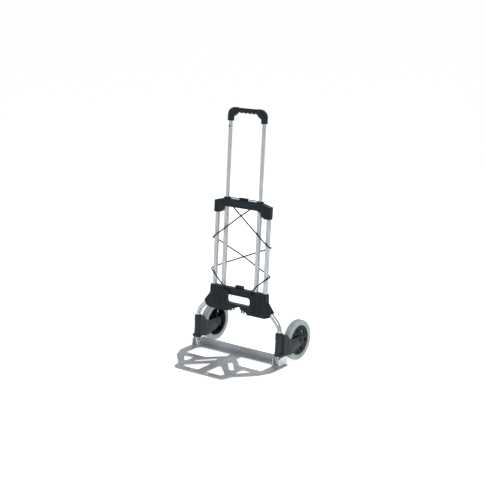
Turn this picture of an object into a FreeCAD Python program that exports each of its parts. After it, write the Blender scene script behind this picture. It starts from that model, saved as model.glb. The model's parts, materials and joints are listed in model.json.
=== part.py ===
import FreeCAD, Part
import math
import os
import re
import Sketcher

# Folding hand truck, +Z up, toe plate towards -Y, rear towards +Y, +X to the right.
# The origin is on the floor, under the middle of the whole truck's box.
#
# Most pieces are drawn in the frame's own axes, which lean back with the tubes:
# X across, Y square to the tubes and rearwards, Z up along them from the hinge level.
# LEAN is the placement that stands those axes up on the floor.

Vector = FreeCAD.Vector
doc = FreeCAD.newDocument("HandTruck")

# ---------------------------------------------------------------------------
# Driving dimensions, in millimetres and degrees
# ---------------------------------------------------------------------------
DIMENSIONS = {
    # the whole frame
    "lean": 4.4, "hinge_y": 28, "hinge_level": 21,
    # outer tubes: straight, an S-bend outwards, straight again
    "outer_x": 140, "foot_x": 226, "outer_r": 10.5, "outer_wall": 1.5,
    "outer_top": 655, "bend_top": 238, "bend_low": 155, "bend_r": 60, "outer_low": -6,
    # sleeve tubes and the handle tubes that slide in them
    "sleeve_x": 90, "sleeve_r": 10.8, "sleeve_bore_r": 9, "sleeve_low": 206, "sleeve_top": 676,
    "handle_r": 8.5, "handle_bore_r": 7, "handle_low": 600, "handle_tube_top": 1064,
    "fit": 0.06,
    # upper crosspiece
    "cross_front": -16, "cross_rear": 13, "cross_split": -1,
    "upper_half": 152.5, "upper_lobe_low": 619, "upper_shoulder": 672, "upper_top": 684,
    "upper_arch": 650, "upper_lobe_in": 112, "upper_flat": 106,
    "collar_r": 15.5, "collar_top": 691, "lock_level": 664, "lock_r": 3, "lock_gap": 0.4,
    "lock_in": 14, "lock_tip": 81.1,
    # release button, its bar and its stem
    "button_half": 20, "button_top": 695, "button_low": 680, "button_half_deep": 6.5,
    "stem_half": 10, "stem_half_deep": 5.5, "stem_low": 660, "bar_end": 73.6,
    "bar_low": 688.5, "bar_high": 692, "bar_half_deep": 2.2, "room": 0.5, "travel": 4,
    # lower crosspiece
    "lower_top": 290, "lower_half": 153, "waist": 250, "tip_x": 186, "tip_level": 211,
    "lobe_low": 181, "slot_half": 69, "slot_low": 219, "slot_high": 258, "slot_corner": 12,
    "latch_half": 19, "latch_half_deep": 8, "latch_top": 303, "latch_low": 284,
    "latch_stem_low": 269,
    # handle
    "corner_low": 1027, "corner_top": 1086, "corner_out": 102.5, "corner_in": 78,
    "corner_half_deep": 12.5, "grip_half": 54, "grip_level": 1075.5, "grip_r": 11,
    "core_r": 6, "core_half": 84,
    "snap_level": 1003, "snap_r": 3.5, "snap_proud": 2.2,
    # wheels, forks and axles
    "wheel_r": 90, "wheel_y": 136, "wheel_x": 232, "tyre_half": 15.5, "tyre_inner_r": 66.5,
    "hub_half": 13, "boss_half": 15.2, "boss_r": 15, "axle_r": 6, "bush_r": 8,
    "arm": 5.5, "slot_gap": 1.3, "fork_low": 27, "fork_top": 127, "block_r": 16,
    "axle_head": 1.6, "axle_cap": 4,
    # toe plate and its hinge
    "pivot_rise": 3, "pivot_r": 4, "plate": 6, "plate_skin": 2.4, "plate_half": 254,
    "toe_front": -282, "plate_rear": 33, "nose_half": 135, "flange_y": 29, "flange_top": 39, "flange": 4,
    "ear_in": 208, "ear_out": 240, "ear": 4, "ear_r": 20, "ear_rear": 44, "ear_base": 2.5,
    # shanks of the screws and rivets
    "shank_r": 1.6, "screw": 21, "corner_rivet": 3,
    # elastic cords and their end clips
    "cord_r": 2.8, "clip_half": 7, "clip_tall": 15, "clip_proud": 7.4,
}

sheet = doc.addObject("Spreadsheet::Sheet", "dims")
for row, (alias, size) in enumerate(DIMENSIONS.items(), start=1):
    sheet.set(f"A{row}", alias)
    sheet.set(f"B{row}", str(size))
    sheet.setAlias(f"B{row}", alias)
doc.recompute()

NAMES = re.compile(r"\b(" + "|".join(sorted(DIMENSIONS, key=len, reverse=True)) + r")\b")


def bound(text):
    """The expression with each dimension's name pointed at its cell."""
    return NAMES.sub(r"dims.\1", str(text))


def value(text):
    """The number that an expression of dimension names gives now."""
    result = sheet.evalExpression(bound(text))
    return float(FreeCAD.Units.Quantity(str(result)))


def bind(item, prop, text):
    item.setExpression(prop, bound(text))


# The wheel's centre in the leaning axes
WHEEL_O = "(wheel_y * cos(lean * 1deg) - (wheel_r - hinge_level) * sin(lean * 1deg))"
WHEEL_S = "(wheel_y * sin(lean * 1deg) + (wheel_r - hinge_level) * cos(lean * 1deg))"


def stand(item, leaning=True):
    """Place a piece: leaning with the frame, or square to the floor from the hinge line."""
    bind(item, "Placement.Base.y", "hinge_y")
    if leaning:
        bind(item, "Placement.Base.z", "hinge_level")
        bind(item, "Placement.Rotation.Axis.x", "1")
        bind(item, "Placement.Rotation.Axis.z", "0")
        bind(item, "Placement.Rotation.Angle", "-lean")


# ---------------------------------------------------------------------------
# Helpers for PartDesign bodies
# ---------------------------------------------------------------------------
pieces = []


def new_body(label, leaning=True):
    body = doc.addObject("PartDesign::Body", label)
    body.Label = label
    stand(body, leaning)
    pieces.append(body)
    return body


def sketch_on(body, role, offset="0"):
    """A sketch on one of the body's own planes, moved along the plane's normal."""
    plane = next(f for f in body.Origin.OriginFeatures if f.Role == role)
    sketch = body.newObject("Sketcher::SketchObject", body.Label + "_sketch")
    sketch.AttachmentSupport = (plane, [""])
    sketch.MapMode = "FlatFace"
    bind(sketch, "AttachmentOffset.Base.z", offset)
    return sketch


def hold(sketch, kind, geometry, point, axis_value, text):
    index = sketch.addConstraint(Sketcher.Constraint(kind, -1, 1, geometry, point, axis_value))
    bind(sketch, f"Constraints[{index}]", text)


def outline(sketch, points):
    """A closed outline of straight sides whose corners are bound to the sheet."""
    corners = [Vector(value(x), value(y), 0) for x, y in points]
    first = sketch.GeometryCount
    count = len(corners)
    for i in range(count):
        sketch.addGeometry(Part.LineSegment(corners[i], corners[(i + 1) % count]), False)
    for i in range(count):
        after = first + (i + 1) % count
        sketch.addConstraint(Sketcher.Constraint("Coincident", first + i, 2, after, 1))
    for i, (x, y) in enumerate(points):
        hold(sketch, "DistanceX", first + i, 1, corners[i].x, x)
        hold(sketch, "DistanceY", first + i, 1, corners[i].y, y)


def rectangle(sketch, left, right, low, high):
    outline(sketch, [(left, low), (right, low), (right, high), (left, high)])


def circle(sketch, x, y, radius):
    centre = Vector(value(x), value(y), 0)
    index = sketch.addGeometry(Part.Circle(centre, Vector(0, 0, 1), value(radius)), False)
    hold(sketch, "DistanceX", index, 3, centre.x, x)
    hold(sketch, "DistanceY", index, 3, centre.y, y)
    size = sketch.addConstraint(Sketcher.Constraint("Radius", index, value(radius)))
    bind(sketch, f"Constraints[{size}]", radius)


def pad(body, sketch, length, middle=False, back=False):
    feature = body.newObject("PartDesign::Pad", body.Label + "_pad")
    feature.Profile = sketch
    bind(feature, "Length", length)
    feature.Midplane = middle
    feature.Reversed = back
    doc.recompute()
    return feature


def pocket(body, sketch, length, middle=False, back=False):
    """A pocket, checked to have taken something away."""
    before = body.Shape.Volume
    feature = body.newObject("PartDesign::Pocket", body.Label + "_pocket")
    feature.Profile = sketch
    bind(feature, "Length", length)
    feature.Midplane = middle
    feature.Reversed = back
    doc.recompute()
    if not body.Shape.Volume < before - 0.5:
        raise RuntimeError(f"a pocket of {body.Label} cuts nothing")
    return feature


def revolve(body, sketch, axis):
    feature = body.newObject("PartDesign::Revolution", body.Label + "_turned")
    feature.Profile = sketch
    feature.ReferenceAxis = (sketch, [axis])
    feature.Angle = 360
    doc.recompute()
    return feature


def straight(edge, axis):
    if edge.Curve.TypeId != "Part::GeomLine":
        return False
    return abs(edge.tangentAt(edge.FirstParameter).dot(axis)) > 0.999


def soften(body, radius, chosen, kind="Fillet"):
    """Round or bevel the edges of the body's last feature that chosen() accepts."""
    base = body.Tip
    names = [f"Edge{i + 1}" for i, edge in enumerate(base.Shape.Edges) if chosen(edge)]
    feature = body.newObject("PartDesign::" + kind, body.Label + "_" + kind.lower())
    feature.Base = (base, names)
    bind(feature, "Radius" if kind == "Fillet" else "Size", radius)
    doc.recompute()
    return feature


def corner_edges(axis, spots, reach=1.0):
    """Edges along the axis ("x", "y" or "z") that pass within reach of the given spots."""
    direction = {"x": Vector(1, 0, 0), "y": Vector(0, 1, 0), "z": Vector(0, 0, 1)}[axis]
    others = [k for k in "xyz" if k != axis]

    def chosen(edge):
        if not straight(edge, direction):
            return False
        middle = edge.CenterOfMass
        here = [getattr(middle, k) for k in others]
        return any(math.dist(here, spot) < reach for spot in spots)

    return chosen


def rim_edges(axis, level):
    """Edges that lie wholly in the plane at this level of the axis."""
    def chosen(edge):
        box = edge.BoundBox
        low, high = getattr(box, axis.upper() + "Min"), getattr(box, axis.upper() + "Max")
        return abs(low - level) < 0.02 and abs(high - level) < 0.02

    return chosen


def spots_of(*pairs):
    return [(value(a), value(b)) for a, b in pairs]


def mirrored(points):
    """The points of a right half, from the top middle round to the bottom, made whole."""
    left = [(f"-({x})", y) for x, y in reversed(points)]
    return points + left


def bend_line(sketch, side):
    """The outer tube's centre line: straight, 45 degree S-bend with two arcs, straight."""
    x_in, x_out = side * value("outer_x"), side * value("foot_x")
    turn = math.atan2(abs(x_out - x_in), value("bend_top - bend_low"))
    step = value("bend_r") * math.tan(turn / 2)
    corners = [Vector(x_in, value("outer_top")), Vector(x_in, value("bend_top")),
               Vector(x_out, value("bend_low")), Vector(x_out, value("outer_low"))]
    ends = []
    for i in (1, 2):
        back = (corners[i - 1] - corners[i]).normalize() * step
        ahead = (corners[i + 1] - corners[i]).normalize() * step
        ends.append((corners[i] + back, corners[i], corners[i] + ahead))
    runs = [Part.LineSegment(corners[0], ends[0][0]), arc_by_corner(*ends[0]),
            Part.LineSegment(ends[0][2], ends[1][0]), arc_by_corner(*ends[1]),
            Part.LineSegment(ends[1][2], corners[3])]
    sketch.addGeometry(runs, False)
    for index in range(5):
        sketch.addConstraint(Sketcher.Constraint("Block", index))


def arc_by_corner(start, corner, end):
    """The arc that leaves start and reaches end tangent to the two runs of a corner."""
    half = (corner - start).getAngle(end - corner) / 2
    reach = (corner - start).Length
    centre_side = ((start + end) * 0.5 - corner).normalize()
    radius = reach / math.tan(half)
    middle = corner + centre_side * (radius / math.cos(half) - radius)
    return Part.Arc(start, middle, end)


def tube_pipe(body, side, radii, kind="AdditivePipe"):
    """A pipe along the outer tube's line: radii give its wall, or a rod if there is one."""
    spine = sketch_on(body, "XZ_Plane")
    bend_line(spine, side)
    section = sketch_on(body, "XY_Plane", "outer_top")
    for radius in radii:
        circle(section, f"{side} * outer_x", "0", radius)
    doc.recompute()
    before = body.Shape.Volume if kind == "SubtractivePipe" else 0.0
    feature = body.newObject("PartDesign::" + kind, body.Label + "_pipe")
    feature.Profile = section
    feature.Spine = (spine, [])
    doc.recompute()
    if kind == "SubtractivePipe" and not body.Shape.Volume < before - 1:
        raise RuntimeError(f"the pipe of {body.Label} cuts nothing")
    return feature


SIDES = {"left": -1, "right": 1}


# ---------------------------------------------------------------------------
# Fastener places, shared with the holes that they stand in: (x, level) or (x, y)
# ---------------------------------------------------------------------------
UPPER_SCREWS = [(x, "upper_arch + 9") for x in (-62, -24, 24, 62)]
LOWER_SCREWS = [(-112, 200), (-112, 278), (112, 200), (112, 278), (-40, 272), (40, 272)]
FLANGE_RIVETS = [(-7, 27), (7, 18), (-150, 24), (150, 24)]
LEG_RIVETS = [(x, "flange_y - 13") for x in (-180, -100, 0, 100, 180)]
EAR_RIVET_Y = 26


def fastener_holes(body, plane, places, offset, depth, middle=False):
    """Holes for shanks, in line with the plane's normal and centred on the given offset."""
    face = sketch_on(body, plane, offset)
    for x, y in places:
        circle(face, x, y, "shank_r + 0.05")
    return pocket(body, face, depth, middle=middle)


# ---------------------------------------------------------------------------
# Frame tubes
# ---------------------------------------------------------------------------
def outer_tube(name, side):
    body = new_body(f"outer_tube_{name}")
    tube_pipe(body, side, ["outer_r", "outer_r - outer_wall"])
    cross = sketch_on(body, "YZ_Plane", f"{side} * foot_x")
    circle(cross, "0", "pivot_rise", "pivot_r + 0.5")
    pocket(body, cross, "3 * outer_r", middle=True)


def tube_end_plug(name, side):
    """A solid plug in the tube's foot, bored for the hinge pin."""
    body = new_body(f"tube_end_plug_{name}")
    rod = sketch_on(body, "XY_Plane", "outer_low")
    circle(rod, f"{side} * foot_x", "0", "outer_r - outer_wall")
    pad(body, rod, "24")
    bore = sketch_on(body, "YZ_Plane", f"{side} * foot_x")
    circle(bore, "0", "pivot_rise", "pivot_r + fit")
    pocket(body, bore, "3 * outer_r", middle=True)


def tube_top_cap(name, side):
    """The plastic cap pressed into the top of an outer tube, inside the crosspiece."""
    body = new_body(f"tube_top_cap_{name}")
    disc = sketch_on(body, "XY_Plane", "outer_top")
    circle(disc, f"{side} * outer_x", "0", "outer_r")
    pad(body, disc, "2")
    spigot = sketch_on(body, "XY_Plane", "outer_top")
    circle(spigot, f"{side} * outer_x", "0", "outer_r - outer_wall")
    pad(body, spigot, "12", back=True)


def sleeve_tube(name, side):
    body = new_body(f"sleeve_tube_{name}")
    wall = sketch_on(body, "XY_Plane", "sleeve_low")
    circle(wall, f"{side} * sleeve_x", "0", "sleeve_r")
    circle(wall, f"{side} * sleeve_x", "0", "sleeve_bore_r")
    pad(body, wall, "sleeve_top - sleeve_low")
    window = sketch_on(body, "YZ_Plane", f"{side} * (sleeve_x - sleeve_r)")
    circle(window, "0", "lock_level", "lock_r + lock_gap")
    pocket(body, window, "8", middle=True)


# ---------------------------------------------------------------------------
# Upper crosspiece: two shells, bored for the tubes, the lock rods and the button
# ---------------------------------------------------------------------------
UPPER_RIGHT_HALF = [
    ("upper_flat", "upper_top"), ("upper_half", "upper_shoulder"),
    ("upper_half", "upper_lobe_low + 3"), ("upper_half - 3", "upper_lobe_low"),
    ("upper_lobe_in + 12", "upper_lobe_low"), ("upper_lobe_in", "upper_lobe_low + 7"),
    ("upper_lobe_in - 12", "upper_arch - 6"), ("upper_lobe_in - 30", "upper_arch"),
]


def shell(label, outline_points, front):
    """Half of a moulded crosspiece, in front of the split or behind it."""
    body = new_body(label)
    face = sketch_on(body, "XZ_Plane", "-cross_split")
    outline(face, outline_points)
    depth = "cross_split - cross_front" if front else "cross_rear - cross_split"
    pad(body, face, depth, back=not front)
    return body


def upper_shell(label, front):
    body = shell(label, mirrored(UPPER_RIGHT_HALF), front)
    face_level = value("cross_front") if front else value("cross_rear")
    ends = spots_of(("upper_half", "0"), ("-upper_half", "0"))
    soften(body, "6", lambda e: end_edge(e, face_level, ends))
    soften(body, "2", rim_edges("y", face_level))
    for side in (-1, 1):
        hole = sketch_on(body, "XY_Plane", "upper_lobe_low - 5")
        circle(hole, f"{side} * outer_x", "0", "outer_r + 0.05")
        pocket(body, hole, "outer_top + 2 - upper_lobe_low + 5", back=True)
        bore = sketch_on(body, "XY_Plane", "upper_lobe_low - 5")
        circle(bore, f"{side} * sleeve_x", "0", "sleeve_r + 0.05")
        pocket(body, bore, "100", back=True)
    channel = sketch_on(body, "YZ_Plane")
    circle(channel, "0", "lock_level", "lock_r + lock_gap")
    pocket(body, channel, "2 * (sleeve_x - 5)", middle=True)
    well(body, "upper_top", "button_half", "button_half_deep", "button_low")
    well(body, "upper_top", "stem_half", "stem_half_deep", "stem_low")
    screw_holes(body, UPPER_SCREWS)


def screw_holes(body, places):
    """The screws stand in the rear shell and end inside the front one."""
    fastener_holes(body, "XZ_Plane", places, "-cross_rear", "2 * screw + 1", middle=True)


def well(body, top, half, half_deep, foot):
    """A pit from the crosspiece's top that lets a block of this size and foot be pressed."""
    pit = sketch_on(body, "XY_Plane", f"{top} + 5")
    wide, deep = f"{half} + room", f"{half_deep} + room"
    rectangle(pit, f"-({wide})", wide, f"-({deep})", deep)
    pocket(body, pit, f"{top} + 5 - {foot} + travel + room")


def end_edge(edge, face_level, ends):
    """An edge at the crosspiece's end that stands along the tubes on the given face."""
    box = edge.BoundBox
    if abs(box.YMin - face_level) > 0.02 or abs(box.YMax - face_level) > 0.02:
        return False
    middle = edge.CenterOfMass
    return any(abs(middle.x - x) < 5 for x, _ in ends) and box.ZLength > 15


def collar(name, side):
    """The bush that stands on the crosspiece round each handle tube."""
    body = new_body(f"handle_collar_{name}")
    ring = sketch_on(body, "XY_Plane", "sleeve_top")
    circle(ring, f"{side} * sleeve_x", "0", "sleeve_r - 0.3")
    circle(ring, f"{side} * sleeve_x", "0", "handle_r + fit")
    pad(body, ring, "upper_top - sleeve_top")
    brim = sketch_on(body, "XY_Plane", "upper_top")
    circle(brim, f"{side} * sleeve_x", "0", "collar_r")
    circle(brim, f"{side} * sleeve_x", "0", "handle_r + fit")
    pad(body, brim, "collar_top - upper_top")
    soften(body, "2.5", lambda e: rim_edges("z", value("collar_top"))(e) and e.Length > 80)


# ---------------------------------------------------------------------------
# Release button with its bar, and the lock rods inside the crosspiece
# ---------------------------------------------------------------------------
def press_block(label, half, half_deep, top, foot, stem_foot):
    """A block with a stem beneath it, softened round its top."""
    body = new_body(label)
    cap = sketch_on(body, "XY_Plane", foot)
    rectangle(cap, f"-{half}", half, f"-{half_deep}", half_deep)
    pad(body, cap, f"{top} - {foot}")
    stem = sketch_on(body, "XY_Plane", foot)
    rectangle(stem, "-stem_half", "stem_half", "-stem_half_deep", "stem_half_deep")
    pad(body, stem, f"{foot} - {stem_foot}", back=True)
    soften(body, "2", rim_edges("z", value(top)))
    return body


def release_button():
    body = press_block("release_button", "button_half", "button_half_deep",
                       "button_top", "button_low", "stem_low")
    slot = sketch_on(body, "YZ_Plane")
    rectangle(slot, "-bar_half_deep", "bar_half_deep", "bar_low", "bar_high")
    pocket(body, slot, "2 * button_half + 2", middle=True)


def release_bar():
    body = new_body("release_bar")
    section = sketch_on(body, "YZ_Plane")
    rectangle(section, "-bar_half_deep", "bar_half_deep", "bar_low", "bar_high")
    pad(body, section, "2 * bar_end", middle=True)
    soften(body, "1", rim_pairs("x", value("bar_end")))


def rim_pairs(axis, level):
    """Edges in either of the two planes at plus and minus the level."""
    high, low = rim_edges(axis, level), rim_edges(axis, -level)
    return lambda edge: high(edge) or low(edge)


def lock_rod(name, side):
    body = new_body(f"lock_rod_{name}")
    section = sketch_on(body, "YZ_Plane", f"{side} * lock_in")
    circle(section, "0", "lock_level", "lock_r")
    pad(body, section, "lock_tip - lock_in", back=side < 0)
    soften(body, "0.8", rim_edges("x", side * value("lock_tip")), "Chamfer")


# ---------------------------------------------------------------------------
# Lower crosspiece: two shells round all four tubes, with a carrying slot
# ---------------------------------------------------------------------------
LOWER_RIGHT_HALF = [
    ("lower_half", "lower_top"), ("lower_half + 2", "waist"), ("tip_x", "tip_level"),
    ("tip_x - 15", "lobe_low + 7"), ("tip_x - 36", "lobe_low"), ("56", "lobe_low"),
    ("48", "lobe_low + 11"), ("16", "lobe_low + 18"), ("16", "lobe_low + 27"),
]


def lower_shell(label, front):
    body = shell(label, mirrored(LOWER_RIGHT_HALF), front)
    face_level = value("cross_front") if front else value("cross_rear")
    soften(body, "6", corner_edges("y", spots_of(
        *[(f"{k} * (lower_half + 2)", "waist") for k in (-1, 1)])))
    soften(body, "14", corner_edges("y", spots_of(
        *[(f"{k} * (tip_x - 36)", "lobe_low") for k in (-1, 1)])))
    soften(body, "2.5", rim_edges("y", face_level))
    for side in (-1, 1):
        tube_pipe(body, side, ["outer_r + 0.05"], "SubtractivePipe")
        bore = sketch_on(body, "XY_Plane", "sleeve_low")
        circle(bore, f"{side} * sleeve_x", "0", "sleeve_r + 0.05")
        pocket(body, bore, "100", back=True)
    slot = sketch_on(body, "XZ_Plane")
    rectangle(slot, "-slot_half", "slot_half", "slot_low", "slot_high")
    pocket(body, slot, "60", middle=True)
    soften(body, "slot_corner", corner_edges("y", spots_of(
        ("slot_half", "slot_low"), ("slot_half", "slot_high"),
        ("-slot_half", "slot_low"), ("-slot_half", "slot_high"))))
    well(body, "lower_top", "latch_half", "latch_half_deep", "latch_low")
    well(body, "lower_top", "stem_half", "stem_half_deep", "latch_stem_low")
    screw_holes(body, LOWER_SCREWS)


def fold_latch():
    """The push tab on the lower crosspiece that lets the folded toe plate go."""
    press_block("fold_latch", "latch_half", "latch_half_deep",
                "latch_top", "latch_low", "latch_stem_low")


# Where each cord's end clip sits: (x, its lower edge)
CLIP_PLACES = {"left": ("-50", "262"), "right": ("75", "278")}


def cord_clip(name, side):
    """The end clip of an elastic cord, fixed to the face of the lower crosspiece."""
    body = new_body(f"cord_clip_{name}")
    x, low = CLIP_PLACES[name]
    block = sketch_on(body, "XZ_Plane", "-cross_front")
    rectangle(block, f"{x} - clip_half", f"{x} + clip_half", low, f"{low} + clip_tall")
    pad(body, block, "clip_proud")
    soften(body, "2.5", rim_edges("y", value("cross_front - clip_proud")))


# ---------------------------------------------------------------------------
# Handle
# ---------------------------------------------------------------------------
def handle_tube(name, side):
    body = new_body(f"handle_tube_{name}")
    wall = sketch_on(body, "XY_Plane", "handle_low")
    circle(wall, f"{side} * sleeve_x", "0", "handle_r")
    circle(wall, f"{side} * sleeve_x", "0", "handle_bore_r")
    pad(body, wall, "handle_tube_top - handle_low")
    if side < 0:
        hole = sketch_on(body, "XZ_Plane")
        circle(hole, "-sleeve_x", "snap_level", "snap_r + 0.3")
        pocket(body, hole, "handle_r + 2", back=True)


def slide_bush(name, side):
    """The plastic foot of a handle tube, which guides it in the sleeve."""
    body = new_body(f"slide_bush_{name}")
    foot = sketch_on(body, "XY_Plane", "handle_low - 14")
    circle(foot, f"{side} * sleeve_x", "0", "sleeve_bore_r - fit")
    pad(body, foot, "14")
    spigot = sketch_on(body, "XY_Plane", "handle_low")
    circle(spigot, f"{side} * sleeve_x", "0", "handle_bore_r")
    pad(body, spigot, "14")


CORNER_RIVET_LEVEL = 1044


def handle_corner(name, side):
    body = new_body(f"handle_corner_{name}")
    face = sketch_on(body, "XZ_Plane")
    points = [("corner_out", "corner_low"), ("corner_out", "corner_top"),
              ("grip_half", "corner_top - 1"), ("grip_half", "corner_top - 23"),
              ("corner_in - 14", "corner_top - 34"), ("corner_in - 2", "corner_low + 22"),
              ("corner_in", "corner_low")]
    outline(face, [(f"{side} * ({x})", y) for x, y in points])
    pad(body, face, "2 * corner_half_deep", middle=True)
    soften(body, "20", corner_edges("y", spots_of((f"{side} * corner_out", "corner_top"))))
    half = value("corner_half_deep")
    soften(body, "4", lambda e: any(
        rim_edges("y", level)(e) and abs(abs(e.CenterOfMass.x) - value("grip_half")) > 1
        for level in (-half, half)))
    bore = sketch_on(body, "XY_Plane", "corner_low - 1")
    circle(bore, f"{side} * sleeve_x", "0", "handle_r + 0.02")
    pocket(body, bore, "handle_tube_top - corner_low + 1", back=True)
    socket = sketch_on(body, "YZ_Plane", f"{side} * (grip_half - 1)")
    circle(socket, "0", "grip_level", "core_r + 0.02")
    pocket(body, socket, "core_half - grip_half + 1", back=side > 0)
    fastener_holes(body, "XZ_Plane", [(f"{side} * sleeve_x", CORNER_RIVET_LEVEL)],
                   "-corner_half_deep", "2 * corner_rivet + 0.5", middle=True)


def handle_grip():
    body = new_body("handle_grip")
    section = sketch_on(body, "YZ_Plane")
    circle(section, "0", "grip_level", "grip_r")
    circle(section, "0", "grip_level", "core_r + 0.02")
    pad(body, section, "2 * grip_half - 0.4", middle=True)
    soften(body, "2", lambda e: rim_pairs("x", value("grip_half - 0.2"))(e) and e.Length > 50)
    for index in range(-2, 3):
        groove = sketch_on(body, "XZ_Plane")
        circle(groove, f"{index * 20}", "grip_level - grip_r - 15", "17")
        pocket(body, groove, "3 * grip_r", middle=True)


def handle_core():
    """The steel bar inside the grip, held by the two corners."""
    body = new_body("handle_core")
    section = sketch_on(body, "YZ_Plane")
    circle(section, "0", "grip_level", "core_r")
    circle(section, "0", "grip_level", "core_r - 1.5")
    pad(body, section, "2 * core_half", middle=True)


def snap_button():
    """The spring button near the top of the left handle tube."""
    body = new_body("snap_button")
    stub = sketch_on(body, "XZ_Plane", "4.2")
    circle(stub, "-sleeve_x", "snap_level", "snap_r")
    pad(body, stub, "handle_r + snap_proud - 4.2")
    soften(body, "1.2", rim_edges("y", -value("handle_r + snap_proud")))
    flange = sketch_on(body, "XZ_Plane", "4.2")
    circle(flange, "-sleeve_x", "snap_level", "snap_r + 0.9")
    pad(body, flange, "1")


# ---------------------------------------------------------------------------
# Wheel fork, axle and wheel
# ---------------------------------------------------------------------------
FORK_OUTLINE = [
    ("4", "fork_low + 3"), ("62", "fork_low + 1"), ("96", "fork_low + 12"),
    (f"{WHEEL_O} + 4", f"{WHEEL_S} - 22"), (f"{WHEEL_O} + 18", f"{WHEEL_S} - 14"),
    (f"{WHEEL_O} + 22", WHEEL_S), (f"{WHEEL_O} + 15", f"{WHEEL_S} + 15"),
    (f"{WHEEL_O} - 2", f"{WHEEL_S} + 20"), ("62", "fork_top - 32"), ("44", "fork_top - 28"),
    ("24", "fork_top - 4"), ("4", "fork_top - 2"),
]


def wheel_fork(name, side):
    body = new_body(f"wheel_fork_{name}")
    half = "(tyre_half + slot_gap + arm)"
    yoke = sketch_on(body, "YZ_Plane", f"{side} * wheel_x")
    outline(yoke, FORK_OUTLINE)
    pad(body, yoke, f"2 * {half}", middle=True)
    soften(body, "9", corner_edges("z", spots_of(
        (f"{side} * wheel_x + {half}", "4"), (f"{side} * wheel_x - {half}", "4"))))
    faces = [side * value("wheel_x") + k * value(half) for k in (-1, 1)]
    rims = [rim_edges("x", level) for level in faces]
    soften(body, "1.8", lambda e: any(rim(e) for rim in rims))
    gap = sketch_on(body, "YZ_Plane", f"{side} * wheel_x")
    circle(gap, WHEEL_O, WHEEL_S, "wheel_r + 3")
    pocket(body, gap, "2 * (tyre_half + slot_gap)", middle=True)
    block = sketch_on(body, "XY_Plane", "fork_low")
    circle(block, f"{side} * foot_x", "0", "block_r")
    pad(body, block, "fork_top - fork_low")
    foot = sketch_on(body, "XY_Plane", "fork_low")
    reach = f"{side} * (foot_x + 24)"
    outline(foot, [(f"{side} * foot_x", "-14"), (f"{side} * (foot_x + 18)", "-14"), (reach, "-8"),
                   (reach, "12"), (f"{side} * foot_x", "14")])
    pad(body, foot, "11")
    band = sketch_on(body, "XY_Plane", "fork_top - 24")
    circle(band, f"{side} * foot_x", "0", "block_r + 1.4")
    pad(body, band, "14")
    bore = sketch_on(body, "XY_Plane", "fork_low - 1")
    circle(bore, f"{side} * foot_x", "0", "outer_r + fit")
    pocket(body, bore, "fork_top - fork_low + 2", back=True)
    axle_hole = sketch_on(body, "YZ_Plane", f"{side} * wheel_x")
    circle(axle_hole, WHEEL_O, WHEEL_S, "axle_r + 0.01")
    pocket(body, axle_hole, f"2 * {half} + 2", middle=True)


def fork_collar(name, side):
    """The ring clamped on the tube that keeps the fork from riding up."""
    body = new_body(f"fork_collar_{name}")
    ring = sketch_on(body, "XY_Plane", "fork_top + 0.4")
    circle(ring, f"{side} * foot_x", "0", "block_r - 1.5")
    circle(ring, f"{side} * foot_x", "0", "outer_r")
    pad(body, ring, "3")


def axle(name, side):
    """A headed axle through both fork arms: the low head is on the inner side."""
    body = new_body(f"axle_{name}")
    half = "(tyre_half + slot_gap + arm)"
    inner = f"{side} * (wheel_x - {half})"
    rod = sketch_on(body, "YZ_Plane", inner)
    circle(rod, WHEEL_O, WHEEL_S, "axle_r")
    pad(body, rod, f"2 * {half} + 2", back=side < 0)
    head = sketch_on(body, "YZ_Plane", inner)
    circle(head, WHEEL_O, WHEEL_S, "axle_r + 4.5")
    pad(body, head, "axle_head", back=side > 0)


def axle_cap(name, side):
    body = new_body(f"axle_cap_{name}")
    half = "(tyre_half + slot_gap + arm)"
    outer = f"{side} * (wheel_x + {half})"
    cap = sketch_on(body, "YZ_Plane", outer)
    circle(cap, WHEEL_O, WHEEL_S, "axle_r + 5")
    pad(body, cap, "axle_cap", back=side < 0)
    soften(body, "2", rim_edges("x", side * value(f"wheel_x + {half} + axle_cap")))
    socket = sketch_on(body, "YZ_Plane", outer)
    circle(socket, WHEEL_O, WHEEL_S, "axle_r")
    pocket(body, socket, "2", back=side > 0)


def turned(label, side, profile):
    """A piece turned about the axle: profile gives (across, radius) pairs from mid-wheel."""
    body = new_body(label)
    flat = sketch_on(body, "XY_Plane", WHEEL_S)
    centre = f"{side} * wheel_x"
    outline(flat, [(f"{centre} + ({x})", f"{WHEEL_O} + ({r})") for x, r in profile])
    axis_line = flat.addGeometry(Part.LineSegment(
        Vector(value(centre) - 20, value(WHEEL_O), 0),
        Vector(value(centre) + 20, value(WHEEL_O), 0)), True)
    flat.addConstraint(Sketcher.Constraint("Block", axis_line))
    revolve(body, flat, "Axis0")
    return body


def tyre(name, side):
    half, bevel = "tyre_half", 5
    turned(f"tyre_{name}", side, [
        (f"-{half} + 1.5", "tyre_inner_r"), (f"-{half}", "tyre_inner_r + 3"),
        (f"-{half}", f"wheel_r - {bevel}"), (f"-{half} + 1.5", f"wheel_r - {bevel} + 3"),
        (f"-{half} + {bevel}", "wheel_r"), (f"{half} - {bevel}", "wheel_r"),
        (f"{half} - 1.5", f"wheel_r - {bevel} + 3"), (half, f"wheel_r - {bevel}"),
        (half, "tyre_inner_r + 3"), (f"{half} - 1.5", "tyre_inner_r")])


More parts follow.
